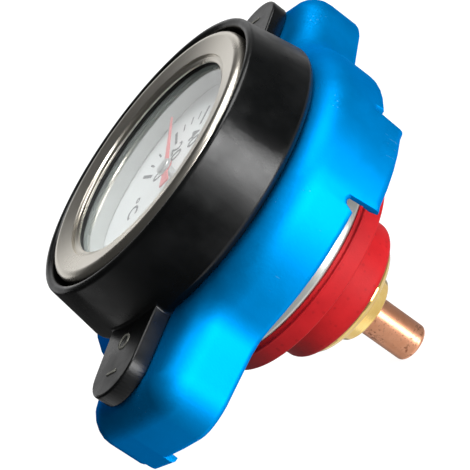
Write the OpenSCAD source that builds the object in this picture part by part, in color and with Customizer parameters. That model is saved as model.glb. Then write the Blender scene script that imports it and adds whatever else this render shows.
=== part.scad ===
// Radiator filler cap with a dial thermometer on top and a probe below.
// Heights are measured from the underside of the upper gasket, which seats on the filler neck.
// +Z runs up through the dial and +X runs through one of the two ears.

/* [Cap shell] */
// Radius of the round body
cap_r = 29.7; // [29:0.1:31]
// Height of the flat top
cap_top_z = 20.1; // [19.5:0.1:22]
// Thickness of the pressed sheet
cap_wall = 1.2; // [0.9:0.1:1.8]
// Outer radius of the rounded shoulder
shoulder_r = 4.6; // [2.8:0.1:4.7]
// Height of the skirt's lower edge
skirt_z = 9.3; // [8:0.1:10.5]

/* [Ears and bayonet tabs] */
// Distance of an ear's end from the axis
ear_tip_x = 41.6; // [40.6:0.1:44]
// Half the width of an ear
ear_w = 11; // [10.2:0.1:12]
// Radius of an ear's corners
ear_corner_r = 4.8; // [4.7:0.1:6]
// Radius of an ear's crowned end
ear_crown_r = 60; // [30:1:90]
// Radius of the hollow between ear and body
blend_r = 10; // [7:0.5:14]
// Width of the tongue at one side of an ear's end
tongue_w = 5; // [3:0.1:6]
// How far the tongue reaches below the skirt
tongue_drop = 1.4; // [0.6:0.1:3]
// Angle from an ear to the middle of a bayonet tab
tab_turn = 92; // [85:1:100]
// Width of a bayonet tab
tab_angle = 31; // [20:1:40]
// How far a tab reaches below the skirt
tab_drop = 3.7; // [3:0.1:4.4]
// How far a tab's lip is folded inwards
lip_in = 2.6; // [1:0.1:4]
// Outer radius of the lip's fold
fold_r = 1.6; // [0.6:0.1:2]
// How far a lip stops short of its tab's ends
lip_inset = 1.2; // [0.6:0.1:3]
// Width of the relief notch beside a tab
notch_w = 2.4; // [1:0.1:4]
// Height of the relief notch above the skirt's edge
notch_h = 1.6; // [0.5:0.1:3]

/* [Gauge housing] */
// Radius of the housing's foot
housing_r = 26.6; // [25.6:0.1:27]
// How far the housing's lip stands in from its foot
housing_taper = 1.5; // [0.6:0.1:2.2]
// Wall of the housing at its lip
housing_wall = 1.6; // [1:0.1:1.8]
// Thickness of the housing's floor
housing_floor = 1.5; // [1.2:0.1:3]
// Radius of the hole in the floor
housing_hole_r = 8; // [7.6:0.1:10]
// Rounding of the foot
foot_round = 1.6; // [0.5:0.1:2.5]
// Thickness of a lug
lug_t = 2.9; // [2.6:0.1:4.5]
// Distance of a lug's round end from the axis
lug_x = 34.2; // [33:0.1:36]
// Radius of a lug's round end
lug_end_r = 5.4; // [4.5:0.1:6]
// Half the width of a lug where it meets the housing
lug_root_w = 6.1; // [6:0.05:7]
// Radius of a lug screw's shank
screw_r = 1.2; // [0.8:0.1:1.5]
// Radius of a lug screw's head
screw_head_r = 2.4; // [2:0.1:3]
// Thickness of a lug screw's head
screw_head_t = 1.4; // [0.8:0.1:2]
// Depth of the screw in the lug
screw_depth = 2.1; // [1.2:0.1:2.4]
// Distance of a lug screw from the middle of the lug's round end
screw_back = 3.2; // [1:0.1:4]

/* [Gauge] */
// Gap between the bezel and the housing
bezel_gap = 0.8; // [0.4:0.1:1.2]
// Width of the bezel's front
bezel_face = 5.4; // [4.8:0.1:6.4]
// Wall of the bezel's skirt
bezel_wall = 0.6; // [0.4:0.1:1]
// Thickness of the bezel at its opening
bezel_lip_t = 0.73; // [0.5:0.01:1.2]
// Height of the bezel's crest above its opening
bezel_crest = 1.17; // [0.6:0.01:2]
// Sheet thickness of the inner can
case_wall = 0.6; // [0.4:0.1:1]
// Depth of the can below the dial
case_depth = 3.4; // [3:0.1:5]
// Width of the can's ledge
case_step = 2.35; // [2:0.05:4]
// Thickness of the dial plate
dial_t = 0.5; // [0.3:0.1:1]
// Height of the spacer ring between dial and lens
ring_h = 3.4; // [3:0.1:5]
// How far the spacer ring stands back from the bezel's opening
ring_back = 0.9; // [0.5:0.1:2]
// How far the spacer ring's wall leans in towards the dial
ring_lean = 0.7; // [0:0.1:1]
// Thickness of the lens
lens_t = 0.8; // [0.6:0.1:2]
// Thickness of the gasket under the bezel
lens_gasket_t = 0.3; // [0.2:0.1:1]
// How far the gasket under the bezel stands back from the opening
lens_gasket_back = 0.5; // [0.4:0.1:1.2]

/* [Pointer and movement] */
// Length of the pointer
pointer_l = 15.2; // [10:0.1:16.5]
// Length of the pointer's tail
tail_l = 4.4; // [3:0.1:7]
// Half the pointer's width at its hub
pointer_w = 0.85; // [0.5:0.05:1.5]
// Half the tail's width at its end
tail_w = 1.05; // [0.5:0.05:1.8]
// Thickness of the pointer
pointer_t = 0.25; // [0.15:0.05:0.5]
// Height of the pointer above the dial
pointer_lift = 1.6; // [0.4:0.1:1.9]
// Angle at which the pointer rests, counted from the ear
pointer_rest = 24; // [0:1:360]
// Radius of the pointer's hub
hub_r = 1.9; // [1.2:0.1:3]
// Height of the pointer's hub
hub_h = 0.6; // [0.3:0.1:1]
// Radius of the spindle
spindle_r = 0.75; // [0.5:0.05:1]
// Turns of the bimetal coil
coil_turns = 12; // [6:1:16]
// Mean radius of the bimetal coil
coil_r = 2.1; // [1.9:0.05:2.2]
// Length of the bimetal coil
coil_l = 21; // [15:0.5:24]
// Thickness of the bimetal strip
strip_t = 0.3; // [0.2:0.05:0.4]
// Width of the bimetal strip
strip_w = 0.9; // [0.5:0.05:1]

/* [Probe] */
// Outer radius of the probe tube
probe_r = 3.28; // [3.1:0.02:3.6]
// Wall of the probe tube
probe_wall = 0.45; // [0.3:0.05:0.6]
// Reach of the probe below the sealing face
probe_reach = 23.3; // [20:0.1:30]
// Rounding of the probe's closed end
probe_round = 0.7; // [0.3:0.1:1.2]
// Thickness of the probe's closed end
probe_end_t = 0.8; // [0.5:0.1:1.5]

/* [Sleeve] */
// Wall of the hollow rivet
sleeve_wall = 1.35; // [1.2:0.05:1.8]
// Radius of the rivet's upper flange
sleeve_flange_r = 7.2; // [6:0.1:7.4]
// Thickness of the rivet's two flanges
sleeve_flange_t = 1; // [0.6:0.1:1.1]
// Radius of the rivet's lower flange
sleeve_foot_r = 6.6; // [6:0.1:8]
// Section radius of the O-ring
o_ring_r = 0.5; // [0.35:0.05:0.55]

/* [Seal stack] */
// Radius of the upper gasket
upper_gasket_r = 19.35; // [18.6:0.05:20.5]
// Thickness of the upper gasket
upper_gasket_t = 3.75; // [3:0.05:4.5]
// Bore radius of the upper gasket and the seal plate
seal_bore_r = 11; // [10.7:0.1:12]
// How far the seal plate's rim stands in from the gasket's edge
seal_plate_in = 0.15; // [0:0.05:0.8]
// Sheet thickness of seal plate, bell and valve cup
sheet_t = 0.8; // [0.6:0.05:1]
// Height of the seal plate's turned-up rim
seal_rim_h = 5.25; // [3:0.05:8]
// Gap between the bell's flange and the seal plate's rim
bell_gap = 0.4; // [0.3:0.1:1.2]
// Width of the spring bell's flange
bell_flange_w = 3.1; // [2:0.1:3.5]
// Wire radius of the main spring
main_wire_r = 0.9; // [0.6:0.05:1]
// Turns of the main spring
main_turns = 4; // [3:0.5:4.5]
// Room between the main spring and the edge of its seat
main_spring_in = 1; // [0.6:0.1:1.4]

/* [Valves] */
// Radius of the lower gasket
lower_gasket_r = 12.5; // [11.6:0.1:13.5]
// Reach of the lower gasket below the sealing face
lower_reach = 7.7; // [7:0.1:12]
// Height of the lower gasket
lower_gasket_h = 5.2; // [4:0.1:6]
// Rounding of the lower gasket's edge
lower_round = 2.2; // [1:0.1:2.5]
// Bore radius of the lower gasket
lower_bore_r = 7.6; // [7:0.1:8.5]
// Gap between the valve cup's tube and the upper gasket
cup_gap = 1; // [0.6:0.1:1.4]
// Gap between the valve cup's spring seat and the bell
cup_seat_gap = 0.5; // [0.4:0.1:1.2]
// Depth of the valve cup's tube in the lower gasket
cup_grip = 2.6; // [1.5:0.1:3]
// How far the brass plate stands in from the lower gasket's edge
plate_in = 1.6; // [0.6:0.1:2.5]
// Thickness of the brass plate at its rim
plate_t = 1.35; // [0.8:0.05:2]
// How far the brass plate's hub stands out from its stem
plate_hub_out = 1.4; // [0.6:0.1:2.5]
// Height of the brass plate's hub below its rim
plate_hub_h = 3.7; // [1.5:0.1:5]
// Wall of the brass plate's stem
stem_wall = 1.04; // [0.8:0.02:1.2]
// Length of the stem above the brass plate
stem_l = 9.8; // [9:0.1:10.5]
// Width of the spring washer
washer_w = 2.8; // [2.4:0.1:3.6]
// Wire radius of the vacuum spring
small_wire_r = 0.4; // [0.25:0.05:0.45]
// Turns of the vacuum spring
small_turns = 3.5; // [2.5:0.5:3.5]
// Room between the vacuum spring and the stem
small_spring_gap = 1.2; // [0.8:0.1:1.6]
// Count of vent holes in the valve cup's floor
vent_count = 6; // [3:1:8]
// Radius of a vent hole
vent_r = 0.7; // [0.4:0.05:0.9]

/* [Clearances] */
// Radial play of turning and sliding fits
run_play = 0.08; // [0.04:0.01:0.1]
// Radial play of pieces fixed in each other
fit_play = 0.05; // [0.02:0.01:0.1]
// Axial play between pieces that move on each other
end_play = 0.15; // [0.1:0.01:0.3]

/* [Hidden] */
$fn = 96;

// Overshoot of cuts that run out of a face
cut = 1;
// Steps in a rounding, and in a fine one
round_steps = 8;
fine_steps = 4;

// Shell: the hollow between ear and body is an arc that touches both circles
ceiling_z = cap_top_z - cap_wall;
tab_z = skirt_z - tab_drop;
corner_turn = asin((ear_w - ear_corner_r) / (ear_crown_r - ear_corner_r));
crown_x = ear_tip_x - ear_crown_r;
corner_x = crown_x + (ear_crown_r - ear_corner_r) * cos(corner_turn);
corner_y = ear_w - ear_corner_r;
corner_d = norm([corner_x, corner_y]);
body_reach = cap_r + blend_r;
ear_reach = ear_corner_r + blend_r;
body_touch = atan2(corner_y, corner_x)
    + acos((body_reach ^ 2 + corner_d ^ 2 - ear_reach ^ 2) / (2 * body_reach * corner_d));
blend_x = body_reach * cos(body_touch);
blend_y = body_reach * sin(body_touch);
ear_touch = atan2(blend_y - corner_y, blend_x - corner_x);
tab_from = tab_turn - tab_angle / 2;
tab_to = tab_turn + tab_angle / 2;
// Angles between two stations, width of a steep edge, and steps in the section's roundings
column_step = 7;
ear_step = 14;
edge_l = 0.2;
shoulder_steps = 6;
fold_steps = 3;
notch_steps = 5;
// Share of the sheet's lower edge that is rounded
edge_share = 0.8;

// Gauge: heights stack up from the cap's top
seat_z = cap_top_z + housing_floor;
ledge_z = seat_z + case_depth;
dial_z = ledge_z + dial_t;
lens_z = dial_z + ring_h;
lens_gasket_z = lens_z + lens_t;
bezel_under_z = lens_gasket_z + lens_gasket_t;
bezel_open_z = bezel_under_z + bezel_lip_t;
bezel_crest_z = bezel_open_z + bezel_crest;
lip_drop = 0.3;
housing_lip_z = bezel_crest_z - lip_drop;
housing_lip_r = housing_r - housing_taper;
housing_bore_r = housing_lip_r - housing_wall;
bezel_r = housing_bore_r - bezel_gap;
bezel_open_r = bezel_r - bezel_face;
case_rim_r = bezel_r - bezel_wall - fit_play;
case_r = case_rim_r - case_step;
glass_r = case_rim_r - case_wall - fit_play;
ring_bore_r = bezel_open_r + ring_back;
lens_gasket_bore_r = bezel_open_r + lens_gasket_back;
pointer_z = dial_z + pointer_lift;
hub_z = pointer_z + pointer_t;
hub_cover = 0.25;
spindle_top_z = hub_z + hub_h - hub_cover;
screw_x = lug_x - screw_back;
screw_tip_z = cap_top_z + screw_depth;

// Movement: the bush closes the tube's top, the plug its foot
probe_bore_r = probe_r - probe_wall;
ferrule_r = 5.2;
ferrule_flange_r = 6.8;
ferrule_flange_t = 0.7;
ferrule_flange_z = seat_z + case_wall;
probe_top_z = ferrule_flange_z + ferrule_flange_t;
bush_l = 2.2;
bush_flange_r = 3.6;
bush_flange_t = 0.5;
plug_l = 1.8;
plug_z = probe_end_t - probe_reach;
plug_top_z = plug_z + plug_l;
strip_play = 0.12;
coil_z = plug_top_z + strip_play + strip_w / 2;
collar_r = coil_r - strip_t / 2 - strip_play;
collar_l = 1.6;
collar_z = coil_z + coil_l - collar_l / 2;
spindle_foot_z = plug_top_z + strip_play;

// Sleeve: it clamps the shell from above and carries the bell below
sleeve_bore_r = probe_r + run_play;
sleeve_r = sleeve_bore_r + sleeve_wall;
bell_top_z = ceiling_z - end_play;
bell_under_z = bell_top_z - sheet_t;
sleeve_foot_z = bell_under_z - end_play;
sleeve_top_z = cap_top_z + sleeve_flange_t;
o_ring_z = (ceiling_z + cap_top_z) / 2;

// Seal stack: gasket, plate and the bell's flange lie on each other
seal_top_z = upper_gasket_t + sheet_t;
seat_under_z = seal_top_z + end_play;
seat_top_z = seat_under_z + sheet_t;
seal_plate_r = upper_gasket_r - seal_plate_in;
bell_flange_r = seal_plate_r - sheet_t - bell_gap;
bell_r = bell_flange_r - bell_flange_w;
cup_seat_r = bell_r - sheet_t - cup_seat_gap;
main_spring_r = cup_seat_r - main_spring_in - main_wire_r;

// Valves: the cup grips the lower gasket and the brass plate closes it from below
lower_gasket_top_z = lower_gasket_h - lower_reach;
cup_foot_z = lower_gasket_top_z - cup_grip;
cup_floor_z = cup_foot_z + sheet_t;
cup_r = seal_bore_r - cup_gap;
plate_r = lower_gasket_r - plate_in;
stem_bore_r = probe_r + run_play;
stem_r = stem_bore_r + stem_wall;
stem_gap = 0.5;
floor_hole_r = stem_r + stem_gap;
plate_hub_r = stem_r + plate_hub_out;
washer_r = stem_r + washer_w;
small_spring_r = stem_r + small_spring_gap + small_wire_r;
vent_ring_r = (small_spring_r + small_wire_r + cup_r - sheet_t) / 2;
plate_top_z = -lower_reach - end_play;
plate_foot_z = plate_top_z - plate_t;
hub_foot_z = plate_foot_z - plate_hub_h;
stem_top_z = plate_top_z + stem_l;
washer_z = stem_top_z - sheet_t;
plate_round = 0.6;
hub_round = 0.6;
plate_dish = 0.8;
plate_bevel = 60;

function direction(a) = [cos(a), sin(a)];

// Points of an arc about a centre
function arc(centre, r, from, to, steps = round_steps) =
    [for (i = [0:steps]) centre + r * direction(from + (to - from) * i / steps)];

// Angle that a length takes up on a circle
function turn(l, r) = l / r * 180 / PI;

function spread(from, to, step = column_step) = let (steps = max(1, ceil(abs(to - from) / step)))
    [for (i = [0:steps]) from + (to - from) * i / steps];

// Stations on the shell's outline: place, outward normal, height of the lower edge, width of the lip
function stations_on(centre, r, angles, low_z = skirt_z, lip = 0) =
    [for (a = angles) [centre + r * direction(a), direction(a), low_z, lip]];

function without_first(list) = [for (i = [1:len(list) - 1]) list[i]];

function ear_stations() = let (
    tongue_from = -corner_turn,
    tongue_to = turn(tongue_w, ear_crown_r) - corner_turn,
    corner_edge = turn(edge_l, ear_corner_r),
    crown_edge = turn(edge_l, ear_crown_r),
    crown = [crown_x, 0]
) concat(
    stations_on(
        [corner_x, -corner_y], ear_corner_r, spread(-ear_touch, tongue_from - corner_edge, ear_step)
    ),
    stations_on(crown, ear_crown_r, spread(tongue_from, tongue_to), skirt_z - tongue_drop),
    stations_on(crown, ear_crown_r, spread(tongue_to + crown_edge, corner_turn)),
    stations_on(
        [corner_x, corner_y], ear_corner_r, without_first(spread(corner_turn, ear_touch, ear_step))
    )
);

function blend_stations() = let (
    angles = spread(ear_touch, body_touch, ear_step)
) stations_on([blend_x, blend_y], -blend_r, [for (i = [1:len(angles) - 2]) angles[i]]);

// Stations inside a relief notch, which is round at its top
function notch_stations(from, to) = [for (i = [1:notch_steps - 1]) let (
    share = i / notch_steps,
    way = direction(from + (to - from) * share)
) [cap_r * way, way, skirt_z + notch_h * sqrt(sin(180 * share)), 0]];

function body_stations() = let (
    notch_turn = turn(notch_w, cap_r),
    lip_turn = turn(lip_inset, cap_r),
    origin = [0, 0]
) concat(
    stations_on(origin, cap_r, spread(body_touch, tab_from - notch_turn)),
    notch_stations(tab_from - notch_turn, tab_from),
    stations_on(origin, cap_r, [tab_from], tab_z),
    stations_on(origin, cap_r, spread(tab_from + lip_turn, tab_to - lip_turn), tab_z, lip_in),
    stations_on(origin, cap_r, [tab_to], tab_z),
    notch_stations(tab_to, tab_to + notch_turn),
    stations_on(origin, cap_r, spread(tab_to + notch_turn, 180 - body_touch))
);

function mirrored(stations) = [for (i = [len(stations) - 1:-1:0]) let (s = stations[i])
    [[-s[0].x, s[0].y], [-s[1].x, s[1].y], s[2], s[3]]
];

// Section through the pressed sheet at a station, from the hole's upper edge round to its lower edge
function shell_section(s, hole_r) = let (
    hole = hole_r * direction(atan2(s[0].y, s[0].x)),
    shoulder = [shoulder_r, cap_top_z - shoulder_r],
    lip = cap_wall + s[3],
    round_r = min(fold_r, lip * edge_share),
    fold = [round_r, s[2] + round_r],
    inner_z = s[2] + cap_wall,
    section = concat(
        arc(shoulder, shoulder_r, 90, 180, shoulder_steps),
        arc(fold, round_r, 180, 270, fold_steps),
        [[lip, s[2]], [lip, inner_z], [cap_wall, inner_z + fit_play]],
        arc(shoulder, shoulder_r - cap_wall, 180, 90, shoulder_steps - 1)
    )
) concat(
    [[hole.x, hole.y, cap_top_z]],
    [for (q = section) let (p = s[0] - q.x * s[1]) [p.x, p.y, q.y]],
    [[hole.x, hole.y, ceiling_z]]
);

// Closed strip of rectangular or round section wound round the axis
module coil(r, z, l, turns, half_w, half_h, sides, rings) {
    steps = ceil(turns * rings);
    slope = atan2(l, turns * 360 * PI / 180 * r);
    phase = sides == 4 ? 45 : 0;
    spread = sides == 4 ? sqrt(2) : 1;
    points = [
        for (i = [0:steps]) let (a = turns * 360 * i / steps)
            for (j = [0:sides - 1]) let (
                b = phase + j * 360 / sides,
                out = r + half_w * spread * cos(b),
                up = half_h * spread * sin(b)
            ) [
                out * cos(a) + up * sin(slope) * sin(a),
                out * sin(a) - up * sin(slope) * cos(a),
                z + l * i / steps + up * cos(slope)
            ]
    ];
    last = steps * sides;
    faces = concat(
        [for (j = [1:sides - 2]) [0, j + 1, j]],
        [for (i = [0:steps - 1]) for (j = [0:sides - 1]) let (k = (j + 1) % sides)
            each [
                [i * sides + j, i * sides + k, (i + 1) * sides + k],
                [i * sides + j, (i + 1) * sides + k, (i + 1) * sides + j]
            ]],
        [for (j = [1:sides - 2]) [last, last + j, last + j + 1]]
    );
    polyhedron(points, faces);
}

module tube(outer_r, inner_r, low, high) {
    rotate_extrude() translate([inner_r, low]) square([outer_r - inner_r, high - low]);
}

// The pressed shell: its section is carried round two ears, four hollows and two round sides
module pressed_shell() {
    half = concat(ear_stations(), blend_stations(), body_stations(), mirrored(blend_stations()));
    stations = concat(half, [for (s = half) [-s[0], -s[1], s[2], s[3]]]);
    sections = [for (s = stations) shell_section(s, sleeve_r + fit_play)];
    columns = len(sections);
    rings = len(sections[0]);
    points = [for (section = sections) each section];
    faces = [for (i = [0:columns - 1]) for (k = [0:rings - 1]) let (
        here = i * rings,
        next = ((i + 1) % columns) * rings,
        up = (k + 1) % rings
    ) each [[here + k, next + k, next + up], [here + k, next + up, here + up]]];
    polyhedron(points, faces);
}

module cap_shell() {
    color("#0A84E0") difference() {
        pressed_shell();
        for (half = [0, 180]) rotate(half) translate([screw_x, 0, ceiling_z - cut])
            cylinder(h = cap_wall + 2 * cut, r = screw_r + fit_play);
    }
}

// Lug outline: straight flanks that touch the round end
module lug_outline() {
    root_x = housing_bore_r + housing_wall / 2;
    lean = asin((lug_root_w - lug_end_r) / (lug_x - root_x));
    touch = lug_end_r * [sin(lean), cos(lean)];
    polygon([
        [root_x, -lug_root_w], [lug_x + touch.x, -touch.y],
        [lug_x + touch.x, touch.y], [root_x, lug_root_w]
    ]);
    translate([lug_x, 0]) circle(lug_end_r);
}

module gauge_housing() {
    lip_round = housing_wall / 2;
    color("#17181A") difference() {
        union() {
            rotate_extrude() polygon(concat(
                [[housing_hole_r, cap_top_z]],
                arc([housing_r - foot_round, cap_top_z + foot_round], foot_round, -90, 0),
                arc([housing_lip_r - lip_round, housing_lip_z - lip_round], lip_round, 0, 180),
                [[housing_bore_r, seat_z], [housing_hole_r, seat_z]]
            ));
            for (half = [0, 180]) rotate(half) translate([0, 0, cap_top_z])
                linear_extrude(lug_t) lug_outline();
        }
        for (half = [0, 180]) rotate(half) translate([screw_x, 0, cap_top_z - cut])
            cylinder(h = screw_depth + cut, r = screw_r);
    }
}

module lug_screws() {
    head_round = screw_head_t / 2;
    color("#B9BDC2") for (half = [0, 180]) rotate(half) translate([screw_x, 0, 0]) rotate_extrude()
        polygon(concat(
            [[0, ceiling_z - screw_head_t]],
            arc([screw_head_r - head_round, ceiling_z - head_round], head_round, -90, 0),
            [[screw_head_r, ceiling_z], [screw_r, ceiling_z], [screw_r, screw_tip_z], [0, screw_tip_z]]
        ));
}

module gauge_case() {
    color("#A9ADB2") rotate_extrude() polygon([
        [ferrule_r + fit_play, seat_z], [case_r, seat_z], [case_r, ledge_z - case_wall],
        [case_rim_r, ledge_z - case_wall], [case_rim_r, lens_gasket_z],
        [case_rim_r - case_wall, lens_gasket_z], [case_rim_r - case_wall, ledge_z],
        [case_r - case_wall, ledge_z],
        [case_r - case_wall, seat_z + case_wall], [ferrule_r + fit_play, seat_z + case_wall]
    ]);
}

// Bezel: a rolled front with two fine ridges at its opening, and a skirt curled in under the can's ledge
module bezel_ring() {
    crest_round = 1.3;
    ridge = 0.3;
    ridge_r = bezel_open_r + 3 * ridge;
    inner_r = bezel_r - bezel_wall;
    curl_z = ledge_z - case_wall - fit_play;
    curl_lap = 1;
    curl_r = case_r + curl_lap;
    color("#C9C3B8") rotate_extrude() polygon(concat(
        [[bezel_open_r + ridge, bezel_under_z]],
        arc([bezel_open_r + ridge, bezel_open_z - ridge], ridge, 180, 60, fine_steps),
        [[bezel_open_r + 2 * ridge, bezel_open_z - ridge / 2]],
        arc([ridge_r, bezel_open_z], ridge, 150, 75, fine_steps),
        arc([bezel_r - crest_round, bezel_crest_z - crest_round], crest_round, 105, 0),
        [[bezel_r, curl_z - bezel_wall], [curl_r, curl_z - bezel_wall], [curl_r, curl_z]],
        [[inner_r, curl_z], [inner_r, bezel_under_z]]
    ));
}

module lens() {
    color("#DDE8EA", 0.35) translate([0, 0, lens_z]) cylinder(h = lens_t, r = glass_r);
}

module lens_gasket() {
    color("#141414") tube(glass_r, lens_gasket_bore_r, lens_gasket_z, bezel_under_z);
}

module dial_ring() {
    color("#D8D9D6") rotate_extrude() polygon([
        [ring_bore_r - ring_lean, dial_z], [glass_r, dial_z], [glass_r, lens_z], [ring_bore_r, lens_z]
    ]);
}

module dial_plate() {
    color("#F4F4F1") tube(glass_r, spindle_r + 2 * end_play, ledge_z, dial_z);
}

module pointer() {
    tip_w = 0.15;
    boss_lap = 0.3;
    boss_r = hub_r + boss_lap;
    color("#D6343A") translate([0, 0, pointer_z]) rotate(pointer_rest)
        linear_extrude(pointer_t) difference() {
            union() {
                polygon([[0, -pointer_w], [pointer_l, -tip_w], [pointer_l, tip_w], [0, pointer_w]]);
                polygon([[0, pointer_w], [-tail_l, tail_w], [-tail_l, -tail_w], [0, -pointer_w]]);
                circle(boss_r);
            }
            circle(spindle_r);
        }
}

module pointer_hub() {
    color("#B7BABD") rotate_extrude() polygon(concat(
        [[spindle_r, hub_z]],
        arc([hub_r - hub_h / 2, hub_z + hub_h / 2], hub_h / 2, -90, 90),
        [[0, hub_z + hub_h], [0, spindle_top_z], [spindle_r, spindle_top_z]]
    ));
}

module spindle() {
    color("#9EA2A6") translate([0, 0, spindle_foot_z])
        cylinder(h = spindle_top_z - spindle_foot_z, r = spindle_r);
}

module spindle_bush() {
    color("#C9A24A") rotate_extrude() polygon([
        [spindle_r + run_play, probe_top_z - bush_l], [probe_bore_r, probe_top_z - bush_l],
        [probe_bore_r, probe_top_z], [bush_flange_r, probe_top_z],
        [bush_flange_r, probe_top_z + bush_flange_t], [spindle_r + run_play, probe_top_z + bush_flange_t]
    ]);
}

module bimetal_coil() {
    color("#8F9296")
        coil(coil_r, coil_z, coil_l, coil_turns, strip_t / 2, strip_w / 2, sides = 4, rings = 12);
}

module coil_collar() {
    color("#C9A24A") tube(collar_r, spindle_r, collar_z, collar_z + collar_l);
}

module tube_plug() {
    color("#C9A24A") translate([0, 0, plug_z]) cylinder(h = plug_l, r = probe_bore_r);
}

module probe_tube() {
    color("#C97B55") rotate_extrude() polygon(concat(
        [[0, -probe_reach]],
        arc([probe_r - probe_round, probe_round - probe_reach], probe_round, -90, 0),
        [[probe_r, probe_top_z], [probe_bore_r, probe_top_z], [probe_bore_r, plug_z], [0, plug_z]]
    ));
}

module stem_ferrule() {
    color("#C9A24A") rotate_extrude() polygon([
        [probe_r, sleeve_top_z + end_play], [ferrule_r, sleeve_top_z + end_play],
        [ferrule_r, ferrule_flange_z], [ferrule_flange_r, ferrule_flange_z],
        [ferrule_flange_r, probe_top_z], [probe_r, probe_top_z]
    ]);
}

// Hollow rivet with a groove for the O-ring
module guide_sleeve() {
    groove_r = probe_r + 2 * o_ring_r + fit_play;
    groove_h = o_ring_r + fit_play;
    foot_under_z = sleeve_foot_z - sleeve_flange_t;
    color("#B4B7BB") rotate_extrude() polygon([
        [sleeve_bore_r, foot_under_z], [sleeve_foot_r, foot_under_z],
        [sleeve_foot_r, sleeve_foot_z], [sleeve_r, sleeve_foot_z], [sleeve_r, cap_top_z],
        [sleeve_flange_r, cap_top_z], [sleeve_flange_r, sleeve_top_z], [sleeve_bore_r, sleeve_top_z],
        [sleeve_bore_r, o_ring_z + groove_h], [groove_r, o_ring_z + groove_h],
        [groove_r, o_ring_z - groove_h], [sleeve_bore_r, o_ring_z - groove_h]
    ]);
}

module probe_o_ring() {
    color("#161616") rotate_extrude() translate([probe_r + o_ring_r, o_ring_z]) circle(o_ring_r);
}

module spring_bell() {
    color("#B9BCC0") rotate_extrude() polygon([
        [sleeve_r + run_play, bell_under_z], [bell_r - sheet_t, bell_under_z],
        [bell_r - sheet_t, seal_top_z], [bell_flange_r, seal_top_z],
        [bell_flange_r, seal_top_z + sheet_t], [bell_r, seal_top_z + sheet_t],
        [bell_r, bell_top_z], [sleeve_r + run_play, bell_top_z]
    ]);
}

module seal_plate() {
    rim_z = upper_gasket_t + seal_rim_h;
    color("#C3C5C6") rotate_extrude() polygon(concat(
        [[seal_bore_r, upper_gasket_t]],
        arc([seal_plate_r - sheet_t, upper_gasket_t + sheet_t], sheet_t, -90, 0),
        [[seal_plate_r, rim_z], [seal_plate_r - sheet_t, rim_z], [seal_plate_r - sheet_t, seal_top_z]],
        [[seal_bore_r, seal_top_z]]
    ));
}

module upper_gasket() {
    edge_round = 0.3;
    color("#D42E34") rotate_extrude() polygon(concat(
        [[seal_bore_r, 0]],
        arc([upper_gasket_r - edge_round, edge_round], edge_round, -90, 0, fine_steps),
        arc([upper_gasket_r - edge_round, upper_gasket_t - edge_round], edge_round, 0, 90, fine_steps),
        [[seal_bore_r, upper_gasket_t]]
    ));
}

module pressure_spring() {
    ends = main_wire_r + fit_play;
    color("#A5A8AC") coil(
        main_spring_r, seat_top_z + ends, bell_under_z - seat_top_z - 2 * ends,
        main_turns, main_wire_r, main_wire_r, sides = 6, rings = 16
    );
}

module valve_cup() {
    color("#B9BCC0") difference() {
        rotate_extrude() polygon([
            [floor_hole_r, cup_foot_z], [cup_r, cup_foot_z], [cup_r, seat_under_z],
            [cup_seat_r, seat_under_z], [cup_seat_r, seat_top_z], [cup_r - sheet_t, seat_top_z],
            [cup_r - sheet_t, cup_floor_z], [floor_hole_r, cup_floor_z]
        ]);
        for (i = [0:vent_count - 1]) rotate(i * 360 / vent_count)
            translate([vent_ring_r, 0, cup_foot_z - cut]) cylinder(h = sheet_t + 2 * cut, r = vent_r);
    }
}

module lower_gasket() {
    top_round = 0.4;
    color("#C9282E") rotate_extrude() polygon(concat(
        [[lower_bore_r, -lower_reach]],
        arc([lower_gasket_r - lower_round, lower_round - lower_reach], lower_round, -90, 0),
        arc([lower_gasket_r - top_round, lower_gasket_top_z - top_round], top_round, 0, 90, fine_steps),
        [[cup_r, lower_gasket_top_z], [cup_r, cup_foot_z], [lower_bore_r, cup_foot_z]]
    ));
}

module vacuum_plate() {
    rim = [plate_r - plate_dish, plate_foot_z + plate_round];
    color("#D8C271") rotate_extrude() polygon(concat(
        [[stem_bore_r, hub_foot_z]],
        arc([plate_hub_r - hub_round, hub_foot_z + hub_round], hub_round, -90, 0),
        [[plate_hub_r, plate_foot_z]],
        arc(rim, plate_round, -90, plate_bevel - 90, fine_steps),
        [[plate_r, plate_top_z - plate_round / 2], [plate_r, plate_top_z], [stem_r, plate_top_z]],
        [[stem_r, stem_top_z], [stem_bore_r, stem_top_z]]
    ));
}

module vacuum_spring() {
    ends = small_wire_r + fit_play;
    color("#A5A8AC") coil(
        small_spring_r, cup_floor_z + ends, washer_z - cup_floor_z - 2 * ends,
        small_turns, small_wire_r, small_wire_r, sides = 6, rings = 12
    );
}

module spring_washer() {
    color("#B4B7BB") tube(washer_r, stem_r, washer_z, stem_top_z);
}

cap_shell();
gauge_housing();
lug_screws();
gauge_case();
bezel_ring();
lens();
lens_gasket();
dial_ring();
dial_plate();
pointer();
pointer_hub();
spindle();
spindle_bush();
bimetal_coil();
coil_collar();
tube_plug();
probe_tube();
stem_ferrule();
guide_sleeve();
probe_o_ring();
spring_bell();
seal_plate();
upper_gasket();
pressure_spring();
valve_cup();
lower_gasket();
vacuum_plate();
vacuum_spring();
spring_washer();
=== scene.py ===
import math

import bpy
from mathutils import Euler, Matrix, Vector


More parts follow.
